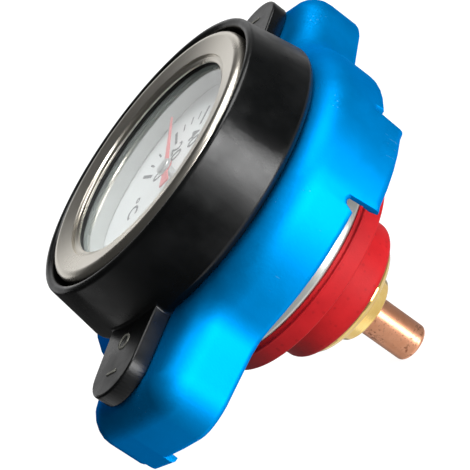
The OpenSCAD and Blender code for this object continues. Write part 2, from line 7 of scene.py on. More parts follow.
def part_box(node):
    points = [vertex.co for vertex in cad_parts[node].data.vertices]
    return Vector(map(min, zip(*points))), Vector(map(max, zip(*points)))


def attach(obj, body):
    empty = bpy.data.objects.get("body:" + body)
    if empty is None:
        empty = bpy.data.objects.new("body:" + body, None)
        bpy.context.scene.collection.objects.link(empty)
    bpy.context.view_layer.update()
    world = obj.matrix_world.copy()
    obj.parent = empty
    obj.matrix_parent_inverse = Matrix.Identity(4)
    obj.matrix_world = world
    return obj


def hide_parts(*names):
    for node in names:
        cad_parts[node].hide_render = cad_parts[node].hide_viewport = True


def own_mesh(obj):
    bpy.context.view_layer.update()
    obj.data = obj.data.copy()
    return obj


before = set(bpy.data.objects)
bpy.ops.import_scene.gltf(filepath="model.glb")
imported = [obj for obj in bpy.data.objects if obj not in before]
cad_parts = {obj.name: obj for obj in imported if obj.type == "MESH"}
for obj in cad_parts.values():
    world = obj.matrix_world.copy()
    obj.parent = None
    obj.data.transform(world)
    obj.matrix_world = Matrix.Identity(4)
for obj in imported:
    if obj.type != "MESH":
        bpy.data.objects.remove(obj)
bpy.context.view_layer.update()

# Cap shell: one blank of aluminium sheet pressed into a round cap with two ears, its rim folded in at two
# bayonet tabs. It is blasted to a satin, dyed blue in the anodising bath, and carries everything else.
MM = 0.001


def pick(piece):
    """Makes a piece the active one, with nothing else selected."""
    bpy.ops.object.select_all(action="DESELECT")
    piece.select_set(True)
    bpy.context.view_layer.objects.active = piece


def edit(piece):
    """Opens a piece in edit mode, with all of it selected."""
    pick(piece)
    bpy.ops.object.mode_set(mode="EDIT")
    bpy.ops.mesh.select_all(action="SELECT")


def copied(node, name, flat=0.5):
    """The CAD solid's own surface as one merged mesh. Faces that are flat within some degrees are joined."""
    merge = 0.002 * MM
    piece = bpy.data.objects.new(name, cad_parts[node].data.copy())
    bpy.context.collection.objects.link(piece)
    edit(piece)
    bpy.ops.mesh.customdata_custom_splitnormals_clear()
    bpy.ops.mesh.remove_doubles(threshold=merge)
    if flat:
        bpy.ops.mesh.dissolve_limited(angle_limit=math.radians(flat))
    bpy.ops.object.mode_set(mode="OBJECT")
    return piece


def soften(piece, width, sharper_than, segments=2, clamp=True):
    """Rolls the edges that are sharper than an angle over by a width in mm."""
    edit(piece)
    bpy.ops.mesh.select_all(action="DESELECT")
    bpy.ops.mesh.edges_select_sharp(sharpness=math.radians(sharper_than))
    bpy.ops.mesh.bevel(offset=width * MM, segments=segments, affect="EDGES", clamp_overlap=clamp)
    bpy.ops.object.mode_set(mode="OBJECT")


def apply(piece, kind, **settings):
    """Adds a modifier with its settings and applies it."""
    modifier = piece.modifiers.new(kind.title(), kind)
    for key, value in settings.items():
        setattr(modifier, key, value)
    pick(piece)
    bpy.ops.object.modifier_apply(modifier=modifier.name)


def smooth(piece, degrees):
    """Smooth shading over edges below an angle, with flat faces kept flat."""
    pick(piece)
    bpy.ops.object.shade_smooth_by_angle(angle=math.radians(degrees))
    apply(piece, "WEIGHTED_NORMAL", keep_sharp=True)


shell = copied("cap_shell", "cap_shell_pressed", flat=0)
edit(shell)
bpy.ops.mesh.tris_convert_to_quads(face_threshold=math.radians(40), shape_threshold=math.radians(70))
bpy.ops.object.mode_set(mode="OBJECT")
soften(shell, width=0.22, sharper_than=40)

# The press leaves the ears' flanks fuller at the root and drawn in towards the end. The middle of an ear,
# which the lug covers, keeps its shape.
flank_x, root_x, end_x = 23, 31.5, 39.5
core_y, flank_y = 4, 9
swell, draw_in = 1.6, 0.2


def ease(low, value, high):
    """Rises smoothly from 0 at the low value to 1 at the high one."""
    share = min(max((value - low) / (high - low), 0), 1)
    return share * share * (3 - 2 * share)


for vertex in shell.data.vertices:
    x, y = abs(vertex.co.x) / MM, abs(vertex.co.y) / MM
    fuller = swell * ease(flank_x, x, root_x) - (swell + draw_in) * ease(root_x, x, end_x)
    vertex.co.y *= 1 + fuller * ease(core_y, y, flank_y) / max(y, core_y)
smooth(shell, degrees=60)


def linear(colour):
    """An sRGB hex colour as linear red, green, blue and alpha."""
    parts = [int(colour[i:i + 2], 16) / 255 for i in (1, 3, 5)]
    return (*[c / 12.92 if c <= 0.04045 else ((c + 0.055) / 1.055) ** 2.4 for c in parts], 1)


def add(tree, kind, values):
    """Adds a node: a key is one of its sockets or its settings, and a value that is a socket is linked."""
    node = tree.nodes.new(kind)
    for key, value in values.items():
        if isinstance(key, str) and key not in node.inputs:
            setattr(node, key, value)
        elif isinstance(value, bpy.types.NodeSocket):
            tree.links.new(value, node.inputs[key])
        else:
            node.inputs[key].default_value = value
    return node


# A Mix node's colours share their sockets' names with its numbers, so they go by their places.
FIRST, SECOND, MIXED = 6, 7, 2


def finish_of(name):
    """An empty material, its node tree and the piece's own coordinates in metres."""
    material = bpy.data.materials.new(name)
    material.use_nodes = True
    tree = material.node_tree
    tree.nodes.clear()
    coords = add(tree, "ShaderNodeTexCoord", {})
    return material, tree, coords.outputs["Object"]


def surface(tree, values):
    """Ends a material in one shader."""
    shader = add(tree, "ShaderNodeBsdfPrincipled", values)
    add(tree, "ShaderNodeOutputMaterial", {"Surface": shader.outputs[0]})


def dress(piece, material, body, slot, *nodes):
    """Gives a piece its finish and its body, and hides the CAD nodes that it stands for. The slot is not
    used.
    """
    piece.data.materials.clear()
    piece.data.materials.append(material)
    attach(piece, body)
    if nodes:
        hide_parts(*nodes)


# Blasting leaves a fine tooth that spreads each highlight, and the dye lets the metal shine through it, so
# the blue runs from deep to azure. Handling has left a few short pale scuffs. The tooth, really about 0.05 mm
# wide, is drawn coarser to show.
blue, tree, at = finish_of("blue anodised aluminium, blasted")
mottle_mm, tooth_mm, tooth_deep = 7, 0.35, 0.05
scuff_mm, scuff_slim, scuff_lean, patch_mm = 0.32, 0.12, (0.5, 0.35, 0.9), 9.6
mottle = add(tree, "ShaderNodeTexNoise", {
    "Vector": at, "Scale": 1 / (mottle_mm * MM), "Detail": 3, "Roughness": 0.6,
})
dye = add(tree, "ShaderNodeMix", {
    "data_type": "RGBA", "Factor": mottle.outputs["Fac"],
    FIRST: linear("#0086CC"), SECOND: linear("#0098E4"),
})
stretch = add(tree, "ShaderNodeMapping", {
    "Vector": at, "Rotation": scuff_lean, "Scale": (1, 1, scuff_slim),
})
scratch = add(tree, "ShaderNodeTexNoise", {
    "Vector": stretch.outputs[0], "Scale": 1 / (scuff_mm * MM), "Detail": 1, "Roughness": 0.4,
})
patch = add(tree, "ShaderNodeTexNoise", {"Vector": at, "Scale": 1 / (patch_mm * MM), "Detail": 2})
rubbed = add(tree, "ShaderNodeMath", {
    "operation": "MULTIPLY", 0: scratch.outputs["Fac"], 1: patch.outputs["Fac"],
})
scuffs = add(tree, "ShaderNodeMapRange", {
    "Value": rubbed.outputs[0], "From Min": 0.45, "From Max": 0.51, "To Max": 0.4,
})
tint = add(tree, "ShaderNodeMix", {
    "data_type": "RGBA", "Factor": scuffs.outputs[0],
    FIRST: dye.outputs[MIXED], SECOND: linear("#9FD3F2"),
})
tooth = add(tree, "ShaderNodeTexNoise", {
    "Vector": at, "Scale": 1 / (tooth_mm * MM), "Detail": 2, "Roughness": 0.6,
})
bump = add(tree, "ShaderNodeBump", {
    "Height": tooth.outputs["Fac"], "Strength": 0.35, "Distance": tooth_deep * MM,
})
polish = add(tree, "ShaderNodeMapRange", {"Value": mottle.outputs["Fac"], "To Min": 0.52, "To Max": 0.62})
surface(tree, {
    "Base Color": tint.outputs[MIXED], "Metallic": 0.94, "Roughness": polish.outputs[0],
    "Specular IOR Level": 0.0, "Specular Tint": linear("#3C9BE8"), "Normal": bump.outputs[0],
})
dress(shell, blue, "cap", "blue_anodised", "cap_shell")

# Gauge housing: a tapered ring of black plastic with a floor, moulded in one with two lugs that lie on the
# ears. Its edges are rolled over a little, and the mould leaves an even satin.
housing = copied("gauge_housing", "gauge_housing_moulded")
soften(housing, width=0.4, sharper_than=50, segments=3, clamp=False)
smooth(housing, degrees=40)

# Satin ABS: near black, with one soft grey highlight and a faint cloud where the mould's polish varies. The
# satin's own grain, really below 0.1 mm, is drawn coarser to show.
black, tree, at = finish_of("black ABS, satin moulded")
cloud_mm, satin_mm, satin_deep = 11, 0.5, 0.05
cloud = add(tree, "ShaderNodeTexNoise", {
    "Vector": at, "Scale": 1 / (cloud_mm * MM), "Detail": 4, "Roughness": 0.6,
})
tint = add(tree, "ShaderNodeMix", {
    "data_type": "RGBA", "Factor": cloud.outputs["Fac"],
    FIRST: linear("#040505"), SECOND: linear("#08090A"),
})
satin = add(tree, "ShaderNodeTexNoise", {
    "Vector": at, "Scale": 1 / (satin_mm * MM), "Detail": 3, "Roughness": 0.6,
})
bump = add(tree, "ShaderNodeBump", {
    "Height": satin.outputs["Fac"], "Strength": 0.15, "Distance": satin_deep * MM,
})
polish = add(tree, "ShaderNodeMapRange", {
    "Value": cloud.outputs["Fac"], "From Min": 0.35, "From Max": 0.65, "To Min": 0.2, "To Max": 0.42,
})
surface(tree, {
    "Base Color": tint.outputs[MIXED], "Roughness": polish.outputs[0], "IOR": 1.5,
    "Specular IOR Level": 0.38, "Normal": bump.outputs[0],
})
dress(housing, black, "cap", "black_plastic", "gauge_housing")


# Lug marks: plain moulded signs that stand a hair above each lug, a ring for the middle of the ear and a
# bar across its end. They are of one piece with the housing.
def turned(name, section, steps=96, angle=30):
    """A closed outline of radii and heights in mm, spun round the cap's axis."""
    merge = 0.001 * MM
    bpy.ops.object.select_all(action="DESELECT")
    bpy.ops.mesh.primitive_circle_add(vertices=len(section), fill_type="NOTHING")
    piece = bpy.context.object
    piece.name = name
    for vertex, (r, z) in zip(piece.data.vertices, section):
        vertex.co = (r * MM, 0, z * MM)
    edit(piece)
    bpy.ops.mesh.spin(steps=steps, angle=math.tau, center=(0, 0, 0), axis=(0, 0, 1))
    bpy.ops.mesh.select_all(action="SELECT")
    bpy.ops.mesh.remove_doubles(threshold=merge)
    bpy.ops.mesh.delete_loose()
    bpy.ops.mesh.select_all(action="SELECT")
    bpy.ops.mesh.normals_make_consistent(inside=False)
    bpy.ops.object.mode_set(mode="OBJECT")
    smooth(piece, angle)
    return piece


def rounded(corners, steps=5):
    """A section's corners in mm: radius, height, and the fillet that rounds the corner off."""
    outline = []
    for i, (r, z, fillet) in enumerate(corners):
        here = Vector((r, z))
        before = (Vector(corners[i - 1][:2]) - here).normalized()
        after = (Vector(corners[(i + 1) % len(corners)][:2]) - here).normalized()
        if not fillet:
            outline.append(here)
            continue
        half = before.angle(after) / 2
        centre = here + (before + after).normalized() * fillet / math.sin(half)
        start = here + before * fillet / math.tan(half) - centre
        end = here + after * fillet / math.tan(half) - centre
        outline += [centre + start.slerp(end, step / steps) * fillet for step in range(steps + 1)]
    return outline


def plate(long, wide, thick):
    """A flat bar in mm along X, which stands on the height 0."""
    bpy.ops.object.select_all(action="DESELECT")
    bpy.ops.mesh.primitive_plane_add(size=1)
    piece = bpy.context.object
    edit(piece)
    bpy.ops.transform.resize(value=(long * MM, wide * MM, 1))
    bpy.ops.mesh.extrude_region_move(TRANSFORM_OT_translate={"value": (0, 0, thick * MM)})
    bpy.ops.mesh.select_all(action="SELECT")
    bpy.ops.mesh.normals_make_consistent(inside=False)
    bpy.ops.object.mode_set(mode="OBJECT")
    return piece


def placed(piece, turn=0, x=0, y=0, z=0):
    """Turns a piece about the cap's axis, moves it in mm, and puts its place in its mesh."""
    piece.location = Vector((x, y, z)) * MM
    piece.rotation_euler = (0, 0, math.radians(turn))
    pick(piece)
    bpy.ops.object.transform_apply(location=True, rotation=True, scale=True)


def twin(piece):
    """A copy of a piece, with a mesh of its own."""
    other = piece.copy()
    other.data = piece.data.copy()
    bpy.context.collection.objects.link(other)
    return other


def joined(name, pieces):
    """One piece made of several."""
    pick(pieces[0])
    for piece in pieces:
        piece.select_set(True)
    bpy.ops.object.join()
    pieces[0].name = name
    return pieces[0]


lug_top, mark_h, mark_edge = 23.0, 0.12, 0.05
ring_x, ring_in, ring_out = 30.1, 0.95, 1.35
bar_x, bar_thick, bar_long = 35.6, 0.5, 2.4
ring_sign = turned("ring_sign", rounded([
    (ring_in, 0, 0), (ring_out, 0, 0), (ring_out, mark_h, mark_edge), (ring_in, mark_h, mark_edge),
], steps=2), steps=32)
bar_sign = plate(bar_thick, bar_long, mark_h)
soften(bar_sign, width=mark_edge, sharper_than=50)
signs = []
for side in (-1, 1):
    for sign, x in ((ring_sign, ring_x), (bar_sign, bar_x)):
        copy = twin(sign)
        placed(copy, x=side * x, z=lug_top)
        signs.append(copy)
bpy.data.objects.remove(ring_sign)
bpy.data.objects.remove(bar_sign)
marks = joined("lug_marks", signs)
smooth(marks, degrees=30)

# The signs are coloured a pale, uneven grey, so they read as grey on the black.
sign_grey, tree, at = finish_of("black ABS, pale grey signs")
sign_mottle_mm = 0.8
sign_mottle = add(tree, "ShaderNodeTexNoise", {"Vector": at, "Scale": 1 / (sign_mottle_mm * MM), "Detail": 3})
tint = add(tree, "ShaderNodeMix", {
    "data_type": "RGBA", "Factor": sign_mottle.outputs["Fac"],
    FIRST: linear("#55554F"), SECOND: linear("#83837A"),
})
surface(tree, {"Base Color": tint.outputs[MIXED], "Roughness": 0.55})
dress(marks, sign_grey, "cap", "black_plastic")

# Lug screws: two small steel screws driven up through the ears into the lugs, each with a cross recess in
# its rounded head. They show only from below.
screws = copied("lug_screws", "lug_screws_crossed")
head_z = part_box("lug_screws")[0].z
screw_x, cross_long, cross_wide, cross_deep, cross_turn = 31, 2.6, 0.55, 0.6, 20
for side in (-1, 1):
    for turn in (0, 90):
        bpy.ops.object.select_all(action="DESELECT")
        bpy.ops.mesh.primitive_cube_add(size=1)
        blade = bpy.context.object
        edit(blade)
        bpy.ops.transform.resize(value=(cross_long * MM, cross_wide * MM, 2 * cross_deep * MM))
        bpy.ops.object.mode_set(mode="OBJECT")
        placed(blade, turn + cross_turn, x=side * screw_x, z=head_z / MM)
        apply(screws, "BOOLEAN", operation="DIFFERENCE", solver="EXACT", object=blade)
        bpy.data.objects.remove(blade)
smooth(screws, degrees=35)

# Zinc plate: a bright grey metal, a little clouded, with soft mirror lights. Its crystals, really some
# hundredths of a millimetre wide, are drawn coarser to show.
steel, tree, at = finish_of("steel, zinc plated")
cloud_mm, crystal_mm, crystal_deep = 4, 0.4, 0.03
cloud = add(tree, "ShaderNodeTexNoise", {"Vector": at, "Scale": 1 / (cloud_mm * MM), "Detail": 3})
tint = add(tree, "ShaderNodeMix", {
    "data_type": "RGBA", "Factor": cloud.outputs["Fac"],
    FIRST: linear("#C4C6C6"), SECOND: linear("#DDDEDC"),
})
crystal = add(tree, "ShaderNodeTexNoise", {"Vector": at, "Scale": 1 / (crystal_mm * MM), "Detail": 2})
bump = add(tree, "ShaderNodeBump", {
    "Height": crystal.outputs["Fac"], "Strength": 0.1, "Distance": crystal_deep * MM,
})
polish = add(tree, "ShaderNodeMapRange", {"Value": cloud.outputs["Fac"], "To Min": 0.26, "To Max": 0.4})
surface(tree, {
    "Base Color": tint.outputs[MIXED], "Metallic": 1.0, "Roughness": polish.outputs[0],
    "Normal": bump.outputs[0],
})
dress(screws, steel, "cap", "bright_steel", "lug_screws")


# Gauge case: a drawn steel can that stands in the housing and holds the dial, ring and lens. It is hidden,
# but for its floor's edge, and keeps its zinc plate.
def recoat(material, *nodes):
    """Gives CAD solids that keep their own shape their real finish."""
    for node in nodes:
        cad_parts[node].data.materials.clear()
        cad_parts[node].data.materials.append(material)


recoat(steel, "gauge_case")

# Movement: a bimetal strip coiled in the probe turns the spindle as it warms. Plug, collar, bush and ferrule
# are turned from brass bar and soldered or pressed in, and all of it is hidden.
recoat(steel, "spindle")

# Turned brass: a clear yellow mirror, warmer where it tarnishes. The lathe's feed leaves grooves across the
# axis, really below 0.1 mm apart, which are drawn coarser to show.
turned_brass, tree, at = finish_of("brass, turned")
groove_mm, groove_deep, tarnish_mm = 0.25, 0.03, 3
parts = add(tree, "ShaderNodeSeparateXYZ", {"Vector": at})
reach = add(tree, "ShaderNodeVectorMath", {"operation": "LENGTH", 0: at})
feed = add(tree, "ShaderNodeCombineXYZ", {"X": reach.outputs["Value"], "Z": parts.outputs["Z"]})
grooves = add(tree, "ShaderNodeTexNoise", {
    "Vector": feed.outputs[0], "Scale": 1 / (groove_mm * MM), "Detail": 2, "Roughness": 0.6,
})
tarnish = add(tree, "ShaderNodeTexNoise", {"Vector": at, "Scale": 1 / (tarnish_mm * MM), "Detail": 4})
tint = add(tree, "ShaderNodeMix", {
    "data_type": "RGBA", "Factor": tarnish.outputs["Fac"],
    FIRST: linear("#D2A23E"), SECOND: linear("#F6DE9A"),
})
bump = add(tree, "ShaderNodeBump", {
    "Height": grooves.outputs["Fac"], "Strength": 0.25, "Distance": groove_deep * MM,
})
polish = add(tree, "ShaderNodeMapRange", {"Value": grooves.outputs["Fac"], "To Min": 0.06, "To Max": 0.16})
surface(tree, {
    "Base Color": tint.outputs[MIXED], "Metallic": 1.0, "Roughness": polish.outputs[0],
    "Normal": bump.outputs[0],
})
recoat(turned_brass, "spindle_bush", "tube_plug", "stem_ferrule", "coil_collar")

# Rolled strip: a warm grey metal with a fine streak in its shine, drawn coarser than the rolls leave it.
strip, tree, at = finish_of("bimetal strip, rolled")
rolling_mm = 0.3
rolling = add(tree, "ShaderNodeTexNoise", {"Vector": at, "Scale": 1 / (rolling_mm * MM), "Detail": 2})
tint = add(tree, "ShaderNodeMix", {
    "data_type": "RGBA", "Factor": rolling.outputs["Fac"],
    FIRST: linear("#8E8A84"), SECOND: linear("#B2ABA2"),
})
polish = add(tree, "ShaderNodeMapRange", {"Value": rolling.outputs["Fac"], "To Min": 0.25, "To Max": 0.4})
surface(tree, {"Base Color": tint.outputs[MIXED], "Metallic": 1.0, "Roughness": polish.outputs[0]})
recoat(strip, "bimetal_coil")

# Probe tube: a drawn copper tube closed to a flat end with a small rounding, which dips into the coolant. It
# is soldered in the ferrule under the gauge and hangs down through the valve.
foot_z, plug_z, top_z = -23.3, -22.5, 22.9
probe_r, bore_r, foot_round, tube_edge = 3.28, 2.83, 0.7, 0.1
probe = turned("probe_tube_drawn", rounded([
    (0, foot_z, 0), (probe_r, foot_z, foot_round), (probe_r, top_z, tube_edge), (bore_r, top_z, tube_edge),
    (bore_r, plug_z, tube_edge), (0, plug_z, 0),
], steps=6), steps=64)

# Buffed copper: one long bright light on a warm pink brown, with brown flecks where it has begun to stain.
# The drawing lines along the tube, really below 0.1 mm apart, are drawn coarser to show.
copper, tree, at = finish_of("copper, drawn and buffed")
draw_mm, draw_slim, draw_deep, bloom_mm, fleck_mm = 0.4, 0.06, 0.03, 2.5, 0.5
drawn = add(tree, "ShaderNodeMapping", {"Vector": at, "Scale": (1, 1, draw_slim)})
lines = add(tree, "ShaderNodeTexNoise", {
    "Vector": drawn.outputs[0], "Scale": 1 / (draw_mm * MM), "Detail": 3, "Roughness": 0.6,
})
bloom = add(tree, "ShaderNodeTexNoise", {
    "Vector": at, "Scale": 1 / (bloom_mm * MM), "Detail": 4, "Roughness": 0.65,
})
warmth = add(tree, "ShaderNodeMix", {
    "data_type": "RGBA", "Factor": bloom.outputs["Fac"],
    FIRST: linear("#CC835A"), SECOND: linear("#EFB595"),
})
flecks = add(tree, "ShaderNodeTexNoise", {
    "Vector": at, "Scale": 1 / (fleck_mm * MM), "Detail": 2, "Roughness": 0.5,
})
stain = add(tree, "ShaderNodeMath", {
    "operation": "MULTIPLY", 0: flecks.outputs["Fac"], 1: bloom.outputs["Fac"],
})
stained = add(tree, "ShaderNodeMapRange", {
    "Value": stain.outputs[0], "From Min": 0.3, "From Max": 0.42, "To Max": 0.8,
})
tint = add(tree, "ShaderNodeMix", {
    "data_type": "RGBA", "Factor": stained.outputs[0],
    FIRST: warmth.outputs[MIXED], SECOND: linear("#7A4227"),
})
bump = add(tree, "ShaderNodeBump", {
    "Height": lines.outputs["Fac"], "Strength": 0.2, "Distance": draw_deep * MM,
})
polish = add(tree, "ShaderNodeMapRange", {"Value": lines.outputs["Fac"], "To Min": 0.28, "To Max": 0.4})
surface(tree, {
    "Base Color": tint.outputs[MIXED], "Metallic": 1.0, "Roughness": polish.outputs[0],
    "Normal": bump.outputs[0],
})
dress(probe, copper, "cap", "copper", "probe_tube")

# Guide sleeve and its O-ring: a hollow steel rivet holds the seal under the cap's top, and a rubber ring in
# its groove keeps steam from creeping up the probe. Both are hidden.
recoat(steel, "guide_sleeve")

# Moulded rubber: a dull black, paler and drier where it chalks, with hardly a highlight.
rubber, tree, at = finish_of("black rubber, moulded")
chalk_mm = 1.2
chalk = add(tree, "ShaderNodeTexNoise", {"Vector": at, "Scale": 1 / (chalk_mm * MM), "Detail": 4})
tint = add(tree, "ShaderNodeMix", {
    "data_type": "RGBA", "Factor": chalk.outputs["Fac"],
    FIRST: linear("#0D0D0D"), SECOND: linear("#1E1E1D"),
})
polish = add(tree, "ShaderNodeMapRange", {"Value": chalk.outputs["Fac"], "To Min": 0.55, "To Max": 0.75})
surface(tree, {
    "Base Color": tint.outputs[MIXED], "Roughness": polish.outputs[0], "Specular IOR Level": 0.35,
})
recoat(rubber, "probe_o_ring")

# Dial: a disc of thin aluminium sheet, painted white, which lies on the case's ledge under the dial ring.
# The enamel is flat and matt, with a faint mottle and orange peel that keep it from looking blank.
dial_paint, tree, at = finish_of("white dial enamel")
mottle_mm, peel_mm, peel_deep = 6, 0.6, 0.03
mottle = add(tree, "ShaderNodeTexNoise", {"Vector": at, "Scale": 1 / (mottle_mm * MM), "Detail": 3})
tint = add(tree, "ShaderNodeMix", {
    "data_type": "RGBA", "Factor": mottle.outputs["Fac"],
    FIRST: linear("#D6DADB"), SECOND: linear("#E2E5E5"),
})
peel = add(tree, "ShaderNodeTexNoise", {"Vector": at, "Scale": 1 / (peel_mm * MM), "Detail": 2})
bump = add(tree, "ShaderNodeBump", {
    "Height": peel.outputs["Fac"], "Strength": 0.06, "Distance": peel_deep * MM,
})
surface(tree, {
    "Base Color": tint.outputs[MIXED], "Roughness": 0.55, "Specular IOR Level": 0.3,
    "Normal": bump.outputs[0],
})
recoat(dial_paint, "dial_plate")

# Dial print: a scale of plain degrees, 0 to 140, screened in grey ink. It runs clockwise round three
# quarters of the dial, with a long stroke at each numeral, short strokes between, and the unit in its gap.
dial_z, ink_h = 25.5, 0.02
dial_up, scale_start, per_degree = 290, 66, 1.94
scale_end, stroke_step, numeral_step = 140, 5, 20


def stroke(inner, outer, width):
    """A printed stroke between two radii in mm."""
    piece = plate(outer - inner, width, ink_h)
    placed(piece, x=(inner + outer) / 2)
    return piece


def lettered(words, height, radius, azimuth):
    """Printed words of a height in mm, upright on the dial, at a radius and an angle."""
    figure_share, bolder = 0.7, 0.07
    bpy.ops.object.select_all(action="DESELECT")
    bpy.ops.object.text_add()
    label = bpy.context.object
    label.data.body = words
    label.data.size = height / figure_share * MM
    label.data.align_x, label.data.align_y = "CENTER", "CENTER"
    label.data.extrude = ink_h / 2 * MM
    label.data.offset = bolder * MM
    bpy.ops.object.convert(target="MESH")
    a = math.radians(azimuth)
    placed(label, dial_up - 90, radius * math.cos(a), radius * math.sin(a), dial_z + ink_h / 2)
    return label


long_stroke = stroke(inner=9.6, outer=13.2, width=0.62)
short_stroke = stroke(inner=11.3, outer=13.0, width=0.34)
figure_h, figure_r, small_h, small_r = 2.7, 6.9, 2.1, 6.3
inked = []
for degrees in range(0, scale_end + 1, stroke_step):
    azimuth = scale_start - degrees * per_degree
    copy = twin(short_stroke if degrees % numeral_step else long_stroke)
    placed(copy, azimuth, z=dial_z)
    inked.append(copy)
    if degrees % numeral_step == 0:
        # Three figures are set smaller and further in, to clear their stroke.
        height, radius = (figure_h, figure_r) if degrees < 100 else (small_h, small_r)
        inked.append(lettered(str(degrees), height, radius, azimuth))
inked.append(lettered("°C", height=2.6, radius=10.9, azimuth=101))
bpy.data.objects.remove(long_stroke)
bpy.data.objects.remove(short_stroke)
print_piece = joined("dial_print", inked)

# Screened ink: a flat blue grey, a little uneven where the screen laid it thin.
ink, tree, at = finish_of("grey dial ink, screened")
wear_mm = 0.7
wear = add(tree, "ShaderNodeTexNoise", {"Vector": at, "Scale": 1 / (wear_mm * MM), "Detail": 3})
tint = add(tree, "ShaderNodeMix", {
    "data_type": "RGBA", "Factor": wear.outputs["Fac"],
    FIRST: linear("#20262B"), SECOND: linear("#3A4248"),
})
surface(tree, {"Base Color": tint.outputs[MIXED], "Roughness": 0.6, "Specular IOR Level": 0.2})
dress(print_piece, ink, "cap", "dial_white")

# Dial ring: a moulded spacer between dial and lens, grey as painted shade, its wall leaning out. Its foot
# is cut under, which shows as a dark line on the dial, and a fine chamfer at its top catches the light.
ring_foot_r, ring_top_r, glass_r, lens_z = 17.5, 18.2, 21.4, 29.4
under_deep, under_h, chamfer_out, chamfer_in, chamfer_h = 0.4, 0.2, 0.25, 0.05, 0.3
foot_edge, rim_edge, chamfer_edge = 0.04, 0.1, 0.08
dial_ring = turned("dial_ring_moulded", rounded([
    (ring_foot_r, dial_z + under_h, foot_edge), (ring_foot_r + under_deep, dial_z + under_h, foot_edge),
    (ring_foot_r + under_deep, dial_z, 0), (glass_r, dial_z, rim_edge), (glass_r, lens_z, rim_edge),
    (ring_top_r + chamfer_out, lens_z, chamfer_edge),
    (ring_top_r - chamfer_in, lens_z - chamfer_h, chamfer_edge),
], steps=3), steps=128)

# Ring finish: a matt grey, made darker than the dial to paint the shade on the ring's wall, with a faint
# cloud.
ring_shade_grey, tree, at = finish_of("moulded ABS, grey for painted shade")
cloud_mm = 5
cloud = add(tree, "ShaderNodeTexNoise", {"Vector": at, "Scale": 1 / (cloud_mm * MM), "Detail": 3})
tint = add(tree, "ShaderNodeMix", {
    "data_type": "RGBA", "Factor": cloud.outputs["Fac"],
    FIRST: linear("#959A98"), SECOND: linear("#A6ABA8"),
})
polish = add(tree, "ShaderNodeMapRange", {"Value": cloud.outputs["Fac"], "To Min": 0.55, "To Max": 0.7})
surface(tree, {
    "Base Color": tint.outputs[MIXED], "Roughness": polish.outputs[0], "Specular IOR Level": 0.15,
})
dress(dial_ring, ring_shade_grey, "cap", "dial_white", "dial_ring")

# Pointer: stamped from thin sheet, painted red and pressed on the spindle with a small turned hub. It turns
# with the spindle, a little above the dial. Its middle is no wider than the hub, which covers it.
pointer = copied("pointer", "pointer_stamped")
boss_r, covered_r, within = 2.2, 1.4, 0.1
for vertex in pointer.data.vertices:
    if abs(math.hypot(vertex.co.x, vertex.co.y) / MM - boss_r) < within:
        vertex.co.x *= covered_r / boss_r
        vertex.co.y *= covered_r / boss_r
soften(pointer, width=0.05, sharper_than=50)
smooth(pointer, degrees=35)

# Pointer paint: a red paled to pink by painted reflection of the lens's haze, with the fine grain of a spray.
red_paint, tree, at = finish_of("red pointer paint")
spray_mm, spray_deep = 0.5, 0.02
spray = add(tree, "ShaderNodeTexNoise", {"Vector": at, "Scale": 1 / (spray_mm * MM), "Detail": 3})
tint = add(tree, "ShaderNodeMix", {
    "data_type": "RGBA", "Factor": spray.outputs["Fac"],
    FIRST: linear("#C6484C"), SECOND: linear("#D8686A"),
})
bump = add(tree, "ShaderNodeBump", {
    "Height": spray.outputs["Fac"], "Strength": 0.1, "Distance": spray_deep * MM,
})
surface(tree, {
    "Base Color": tint.outputs[MIXED], "Roughness": 0.5, "Specular IOR Level": 0.3, "Normal": bump.outputs[0],
})
dress(pointer, red_paint, "pointer", "pointer_red", "pointer")
hub_foot_z, hub_top_z, hub_foot_r, hub_top_r, hub_edge, hub_round = 27.35, 27.95, 1.5, 1.35, 0.08, 0.3
hub = turned("pointer_hub_turned", rounded([
    (0, hub_foot_z, 0), (hub_foot_r, hub_foot_z, hub_edge), (hub_top_r, hub_top_z, hub_round),
    (0, hub_top_z, 0),
], steps=5), steps=48)
dress(hub, steel, "pointer", "bright_steel", "pointer_hub")

# Lens and its gasket: a flat disc of clear glass on the dial ring, and a black rubber ring on top of it that
# shows as a dark line inside the bezel. The disc is drawn as a thin pane, so its edge doesn't shade the dial.
gasket_z, pane = 29.7, 0.3
lens = turned("lens_clear", [
    (0, gasket_z - pane), (glass_r, gasket_z - pane), (glass_r, gasket_z), (0, gasket_z),
], steps=128)
lens.visible_shadow = False

# Clear glass: all but unseen, with a faint haze of handling in its shine.
clear, tree, at = finish_of("clear glass, polished")
haze_mm = 3
haze = add(tree, "ShaderNodeTexNoise", {"Vector": at, "Scale": 1 / (haze_mm * MM), "Detail": 2})
polish = add(tree, "ShaderNodeMapRange", {"Value": haze.outputs["Fac"], "To Min": 0.0, "To Max": 0.02})
surface(tree, {
    "Base Color": linear("#FBFDFC"), "Roughness": polish.outputs[0], "IOR": 1.49, "Transmission Weight": 1.0,
    "Specular IOR Level": 0.06,
})
dress(lens, clear, "cap", "clear_glass", "lens")
gasket_in, flange_z, lip_z, lip_foot_r, lip_top_r = 17.45, 30.0, 30.4, 18.2, 18.0
cut_edge, gasket_edge, lip_edge = 0.05, 0.08, 0.1
lens_gasket = turned("lens_gasket_cut", rounded([
    (gasket_in, gasket_z, cut_edge), (glass_r, gasket_z, gasket_edge), (glass_r, flange_z, gasket_edge),
    (lip_foot_r, flange_z, gasket_edge), (lip_top_r, lip_z, gasket_edge), (gasket_in, lip_z, lip_edge),
], steps=3), steps=128)
dress(lens_gasket, rubber, "cap", "black_rubber", "lens_gasket")

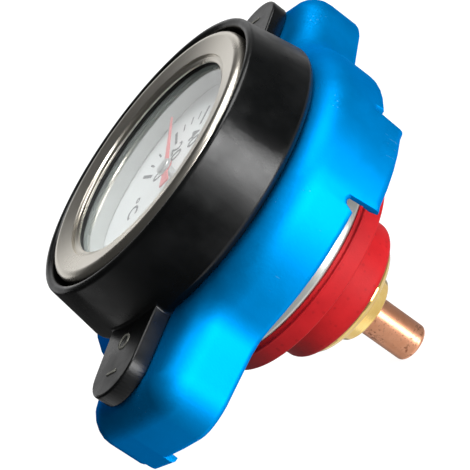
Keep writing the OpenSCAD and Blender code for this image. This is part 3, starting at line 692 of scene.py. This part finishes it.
# Bezel: a nickel plated ring spun over the case. Its front rises from a narrow ledge and a sharp step at the
# opening to a rolled crest, and its skirt is curled in under the case's ledge.
bezel_r, opening_r, wall, curl_r, curl_z = 22.7, 17.3, 0.6, 20.7, 23.75
under_z, under_r, over_lip_r = 30.0, 18.3, 18.05
nose_z, ledge_r, ledge_z = 30.75, 17.75, 30.96
step_foot_r, step_foot_z, step_r, step_z = 18.25, 30.93, 18.36, 31.33
crest_r, crest_in_z, crest_z = 21.35, 31.88, 31.9
fine_edge, step_foot_edge, step_edge, bend = 0.05, 0.06, 0.08, 0.1
curl_bend, skirt_bend, crest_in_round, crest_round = 0.2, 0.5, 0.6, 1.25
bezel = turned("bezel_ring_spun", rounded([
    (under_r, under_z, fine_edge), (bezel_r - wall, under_z, bend), (bezel_r - wall, curl_z + wall, bend),
    (curl_r, curl_z + wall, curl_bend), (curl_r, curl_z, curl_bend), (bezel_r, curl_z, skirt_bend),
    (bezel_r, crest_z, crest_round), (crest_r, crest_in_z, crest_in_round), (step_r, step_z, step_edge),
    (step_foot_r, step_foot_z, step_foot_edge), (ledge_r, ledge_z, bend), (opening_r, nose_z, bend),
    (opening_r, lip_z, step_edge), (over_lip_r, lip_z, fine_edge),
], steps=6), steps=160, angle=40)

# Spun nickel: a warm grey metal that mirrors softly, in bands that follow the ring. The tool's lines, really
# below 0.1 mm apart, are drawn coarser to show.
nickel, tree, at = finish_of("nickel plate, spun")
spun_mm, spun_deep, film_mm = 0.3, 0.03, 6
parts = add(tree, "ShaderNodeSeparateXYZ", {"Vector": at})
flat = add(tree, "ShaderNodeCombineXYZ", {"X": parts.outputs["X"], "Y": parts.outputs["Y"]})
reach = add(tree, "ShaderNodeVectorMath", {"operation": "LENGTH", 0: flat.outputs[0]})
feed = add(tree, "ShaderNodeCombineXYZ", {"X": reach.outputs["Value"], "Z": parts.outputs["Z"]})
spun = add(tree, "ShaderNodeTexNoise", {
    "Vector": feed.outputs[0], "Scale": 1 / (spun_mm * MM), "Detail": 2, "Roughness": 0.6,
})
film = add(tree, "ShaderNodeTexNoise", {"Vector": at, "Scale": 1 / (film_mm * MM), "Detail": 3})
tint = add(tree, "ShaderNodeMix", {
    "data_type": "RGBA", "Factor": film.outputs["Fac"],
    FIRST: linear("#DDD6C8"), SECOND: linear("#EDE8DD"),
})
bump = add(tree, "ShaderNodeBump", {
    "Height": spun.outputs["Fac"], "Strength": 0.12, "Distance": spun_deep * MM,
})
polish = add(tree, "ShaderNodeMapRange", {"Value": film.outputs["Fac"], "To Min": 0.24, "To Max": 0.33})
surface(tree, {
    "Base Color": tint.outputs[MIXED], "Metallic": 1.0, "Roughness": polish.outputs[0],
    "Normal": bump.outputs[0],
})
dress(bezel, nickel, "cap", "nickel", "bezel_ring")

# Spring bell and pressure spring: a drawn steel bell under the cap's top, and a coil of round spring wire
# that presses the seal down. The dish hides most of both.
recoat(steel, "spring_bell")

# Bright wire: a cool grey metal, streaked by the die. The streaks are drawn coarser than the die leaves them.
wire, tree, at = finish_of("spring wire, bright")
die_mm = 0.5
streaks = add(tree, "ShaderNodeTexNoise", {"Vector": at, "Scale": 1 / (die_mm * MM), "Detail": 3})
tint = add(tree, "ShaderNodeMix", {
    "data_type": "RGBA", "Factor": streaks.outputs["Fac"],
    FIRST: linear("#A2A5A7"), SECOND: linear("#C6C8C8"),
})
polish = add(tree, "ShaderNodeMapRange", {"Value": streaks.outputs["Fac"], "To Min": 0.2, "To Max": 0.34})
surface(tree, {"Base Color": tint.outputs[MIXED], "Metallic": 1.0, "Roughness": polish.outputs[0]})


def sprung(node, name, body):
    """A spring's coil, copied from its CAD node and dressed in wire, with a mesh of its own."""
    coil = copied(node, name, flat=0)
    smooth(coil, degrees=70)
    dress(coil, wire, body, "bright_steel", node)
    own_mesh(coil)


sprung("pressure_spring", "pressure_spring_coiled", "seal")

# Seal plate: a shallow dish pressed from stainless sheet, which backs the upper gasket. Its wall has the
# soft satin of a brushed and tumbled pressing.
dish_r, dish_foot, dish_top, sheet, seal_bore = 19.2, 3.75, 9.0, 0.8, 11
bore_edge, rim_round, bend_in, bend_out = 0.15, 0.3, 0.4, 0.8
dish = turned("seal_plate_pressed", rounded([
    (seal_bore, dish_foot, bore_edge), (dish_r, dish_foot, bend_out), (dish_r, dish_top, rim_round),
    (dish_r - sheet, dish_top, rim_round), (dish_r - sheet, dish_foot + sheet, bend_in),
    (seal_bore, dish_foot + sheet, bore_edge),
], steps=5), steps=128)

# Tumbled stainless: a pale grey with broad, soft lights and a faint brushing round the wall. The brush's
# lines, really below 0.1 mm apart, are drawn coarser to show.
stainless, tree, at = finish_of("stainless steel, tumbled")
brush_mm, brush_deep, cloud_mm = 0.3, 0.03, 5
parts = add(tree, "ShaderNodeSeparateXYZ", {"Vector": at})
rise = add(tree, "ShaderNodeCombineXYZ", {"Z": parts.outputs["Z"]})
brushed = add(tree, "ShaderNodeTexNoise", {
    "Vector": rise.outputs[0], "Scale": 1 / (brush_mm * MM), "Detail": 2,
})
cloud = add(tree, "ShaderNodeTexNoise", {"Vector": at, "Scale": 1 / (cloud_mm * MM), "Detail": 3})
tint = add(tree, "ShaderNodeMix", {
    "data_type": "RGBA", "Factor": cloud.outputs["Fac"],
    FIRST: linear("#B2B5B2"), SECOND: linear("#CCCEC9"),
})
bump = add(tree, "ShaderNodeBump", {
    "Height": brushed.outputs["Fac"], "Strength": 0.1, "Distance": brush_deep * MM,
})
polish = add(tree, "ShaderNodeMapRange", {"Value": cloud.outputs["Fac"], "To Min": 0.32, "To Max": 0.44})
surface(tree, {
    "Base Color": tint.outputs[MIXED], "Metallic": 1.0, "Roughness": polish.outputs[0],
    "Normal": bump.outputs[0],
})
dress(dish, stainless, "seal", "bright_steel", "seal_plate")

# Upper gasket: a thick ring of red silicone that seals on the filler neck. Its upper edge is stepped back
# under the dish, and the mould's parting line leaves a fine ridge there.
side_r, ridge_r, shoulder_r, neck_r = 19.25, 19.35, 18.85, 18.8
side_top, ridge_foot, ridge_top, shoulder_z = 2.78, 2.86, 3.1, 3.2
ridge_edge, ridge_round, shoulder_round, bore_round, side_round = 0.06, 0.08, 0.1, 0.2, 0.35
upper = turned("upper_gasket_moulded", rounded([
    (seal_bore, 0, bore_round), (side_r, 0, side_round), (side_r, side_top, ridge_edge),
    (ridge_r, ridge_foot, ridge_edge), (ridge_r, ridge_top, ridge_round),
    (shoulder_r, shoulder_z, shoulder_round), (neck_r, dish_foot, ridge_round),
    (seal_bore, dish_foot, bore_round),
], steps=3), steps=128)

# Red silicone: a full red with a matt, slightly cloudy skin and a few darker specks of pigment. The skin's
# grain, really about 0.1 mm, is drawn coarser to show.
silicone, tree, at = finish_of("red silicone rubber, moulded")
cloud_mm, speck_mm, skin_mm, skin_deep = 4, 1.35, 0.3, 0.08
cloud = add(tree, "ShaderNodeTexNoise", {
    "Vector": at, "Scale": 1 / (cloud_mm * MM), "Detail": 4, "Roughness": 0.6,
})
body_red = add(tree, "ShaderNodeMix", {
    "data_type": "RGBA", "Factor": cloud.outputs["Fac"],
    FIRST: linear("#A81018"), SECOND: linear("#CC2125"),
})
speck = add(tree, "ShaderNodeTexVoronoi", {"Vector": at, "Scale": 1 / (speck_mm * MM)})
dots = add(tree, "ShaderNodeMapRange", {
    "Value": speck.outputs["Distance"], "From Min": 0.1, "From Max": 0.25, "To Min": 0.6, "To Max": 0.0,
})
tint = add(tree, "ShaderNodeMix", {
    "data_type": "RGBA", "Factor": dots.outputs[0],
    FIRST: body_red.outputs[MIXED], SECOND: linear("#9E1218"),
})
skin = add(tree, "ShaderNodeTexNoise", {"Vector": at, "Scale": 1 / (skin_mm * MM), "Detail": 3})
bump = add(tree, "ShaderNodeBump", {
    "Height": skin.outputs["Fac"], "Strength": 0.4, "Distance": skin_deep * MM,
})
polish = add(tree, "ShaderNodeMapRange", {"Value": cloud.outputs["Fac"], "To Min": 0.5, "To Max": 0.62})
surface(tree, {
    "Base Color": tint.outputs[MIXED], "Roughness": polish.outputs[0], "IOR": 1.41,
    "Specular IOR Level": 0.25, "Normal": bump.outputs[0],
})
dress(upper, silicone, "seal", "red_silicone", "upper_gasket")

# Valve cup: a drawn steel tube with a flange above and a floor below, pierced by vents. The pressure spring
# sits on its flange, and the lower gasket is pushed on its foot.
cup = copied("valve_cup", "valve_cup_drawn")
soften(cup, width=0.12, sharper_than=50)
smooth(cup, degrees=35)
dress(cup, steel, "pressure_valve", "bright_steel", "valve_cup")

# Lower gasket: a ring moulded in the same red silicone, with a full round at its lower edge. It is pushed on
# the valve cup's foot, closes the neck's inner seat, and is itself closed from below by the brass plate.
gasket_r, gasket_bore, gasket_foot, gasket_top = 12.5, 7.6, -7.7, -2.5
cup_r, cup_foot = 10, -5.1
seat_edge, cup_edge, mouth_round, top_round, full_round = 0.05, 0.1, 0.2, 0.4, 1.1
lower = turned("lower_gasket_moulded", rounded([
    (gasket_bore, gasket_foot, mouth_round), (gasket_r, gasket_foot, full_round),
    (gasket_r, gasket_top, top_round), (cup_r, gasket_top, cup_edge), (cup_r, cup_foot, seat_edge),
    (gasket_bore, cup_foot, seat_edge),
], steps=8), steps=96)
dress(lower, silicone, "pressure_valve", "red_silicone", "lower_gasket")

# Vacuum valve: a brass plate closes the lower gasket from below, and its stem carries the spring washer. It
# is turned in one from bar, with a rounded rim and a tapered hub round the probe.
plate_r, plate_top, rim_foot, rim_in_r, plate_foot = 10.9, -7.85, -8.4, 10.2, -9.2
root_r, nose_r, nose_foot = 6.9, 5.8, -12.9
stem_r, stem_bore, stem_top = 4.4, 3.36, 1.95
stem_edge, mouth_edge, plate_edge, rim_bend, nose_round, root_round = 0.1, 0.15, 0.2, 0.3, 0.5, 0.9
valve_plate = turned("vacuum_plate_turned", rounded([
    (stem_bore, nose_foot, mouth_edge), (nose_r, nose_foot, nose_round), (root_r, plate_foot, root_round),
    (rim_in_r, plate_foot, nose_round), (plate_r, rim_foot, rim_bend), (plate_r, plate_top, plate_edge),
    (stem_r, plate_top, stem_edge), (stem_r, stem_top, stem_edge), (stem_bore, stem_top, stem_edge),
], steps=5), steps=128, angle=35)
dress(valve_plate, turned_brass, "vacuum_valve", "brass", "vacuum_plate")
recoat(steel, "spring_washer")

# Vacuum spring: a small coil of the same wire between the valve cup's floor and the washer, which holds the
# plate up against the lower gasket.
sprung("vacuum_spring", "vacuum_spring_coiled", "pressure_valve")

# Stage: a light table under the probe's end, soft boxes round the cap, and the camera where the photograph
# was taken, turned on its side as the photograph is.
bpy.ops.object.select_all(action="DESELECT")
floor_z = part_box("probe_tube")[0].z
bpy.ops.mesh.primitive_plane_add(size=6, location=(0, 0, floor_z))
floor = bpy.context.object
floor.name = "floor"

# The table glows as white as the photograph's ground, and throws neither light nor shade on the cap.
table_top, tree, at = finish_of("white acrylic, lit from below")
surface(tree, {
    "Base Color": linear("#909090"), "Roughness": 0.9, "Specular IOR Level": 0.0,
    "Emission Color": (1, 1, 1, 1), "Emission Strength": 0.95,
})
floor.data.materials.append(table_top)
floor.visible_glossy = False
floor.visible_shadow = False
floor.visible_diffuse = False


def softbox(name, azimuth, elevation, distance, width, height, radiance, mirrored=True, lights=True):
    """A soft box in metres, turned to the cap. It is round where its sides are equal, and evenly bright."""
    light = bpy.data.lights.new(name, "AREA")
    light.shape = "DISK" if width == height else "RECTANGLE"
    light.size, light.size_y = width, height
    area = width * height * (math.pi / 4 if width == height else 1)
    light.energy = radiance * math.pi * area
    lamp = bpy.data.objects.new(name, light)
    bpy.context.collection.objects.link(lamp)
    a, e = math.radians(azimuth), math.radians(elevation)
    out = Vector((math.cos(e) * math.cos(a), math.cos(e) * math.sin(a), math.sin(e)))
    lamp.location = out * distance
    lamp.rotation_euler = out.to_track_quat("Z", "Y").to_euler()
    lamp.visible_glossy = mirrored
    lamp.visible_diffuse = lights
    lamp.visible_camera = False
    return lamp


key = softbox("key", azimuth=262, elevation=0, distance=0.5, width=0.2, height=0.62, radiance=11)
softbox("top", azimuth=317, elevation=45, distance=0.6, width=0.42, height=0.36, radiance=5.8)
softbox("table", azimuth=195, elevation=-40, distance=0.5, width=0.6, height=0.35, radiance=0.45)
softbox("below", azimuth=0, elevation=-90, distance=0.25, width=1.7, height=1.7, radiance=0.35, lights=False)
softbox("under", azimuth=0, elevation=-90, distance=0.26, width=0.7, height=0.7, radiance=0.5, lights=False)
softbox("far", azimuth=50, elevation=14, distance=0.6, width=0.85, height=0.24, radiance=0.85)
softbox("rear", azimuth=22, elevation=-7, distance=0.6, width=0.4, height=0.22, radiance=0.5)
softbox("side", azimuth=134, elevation=-14, distance=0.6, width=0.5, height=0.3, radiance=0.45)
softbox("above", azimuth=240, elevation=85, distance=0.9, width=1.3, height=1.3, radiance=0.3, mirrored=False)

# The lens is kept out of the key's light, which it would mirror as a white sheet when seen from behind.
spared = bpy.data.collections.new("key_spares")
spared.objects.link(lens)
spared.collection_objects[0].light_linking.link_state = "EXCLUDE"
key.light_linking.receiver_collection = spared

# The room is dim, so that the soft boxes give the metal its lights, behind a backdrop that looks white.
world = bpy.data.worlds.new("studio")
bpy.context.scene.world = world
world.use_nodes = True
world.node_tree.nodes.clear()
room = add(world.node_tree, "ShaderNodeBackground", {"Color": (1, 1, 1, 1), "Strength": 0.045})
backdrop = add(world.node_tree, "ShaderNodeBackground", {"Color": (1, 1, 1, 1), "Strength": 1.0})
ray = add(world.node_tree, "ShaderNodeLightPath", {})
studio = add(world.node_tree, "ShaderNodeMixShader", {
    0: ray.outputs["Is Camera Ray"], 1: room.outputs[0], 2: backdrop.outputs[0],
})
add(world.node_tree, "ShaderNodeOutputWorld", {"Surface": studio.outputs[0]})

turn_deg, tilt_deg, roll_deg = -37.758, 70.582, -54.702
camera_data = bpy.data.cameras.new("camera")
camera_data.lens = 140.04
camera_data.sensor_width = 36
camera_data.clip_start = 0.01
camera = bpy.data.objects.new("camera", camera_data)
bpy.context.collection.objects.link(camera)
aim = Euler((math.radians(tilt_deg), 0, math.radians(turn_deg))).to_matrix()
camera.rotation_euler = (aim @ Matrix.Rotation(math.radians(roll_deg), 3, "Z")).to_euler()
camera.location = (-0.164641, -0.208933, 0.105874)
bpy.context.scene.camera = camera
bpy.context.scene.view_settings.view_transform = "Standard"
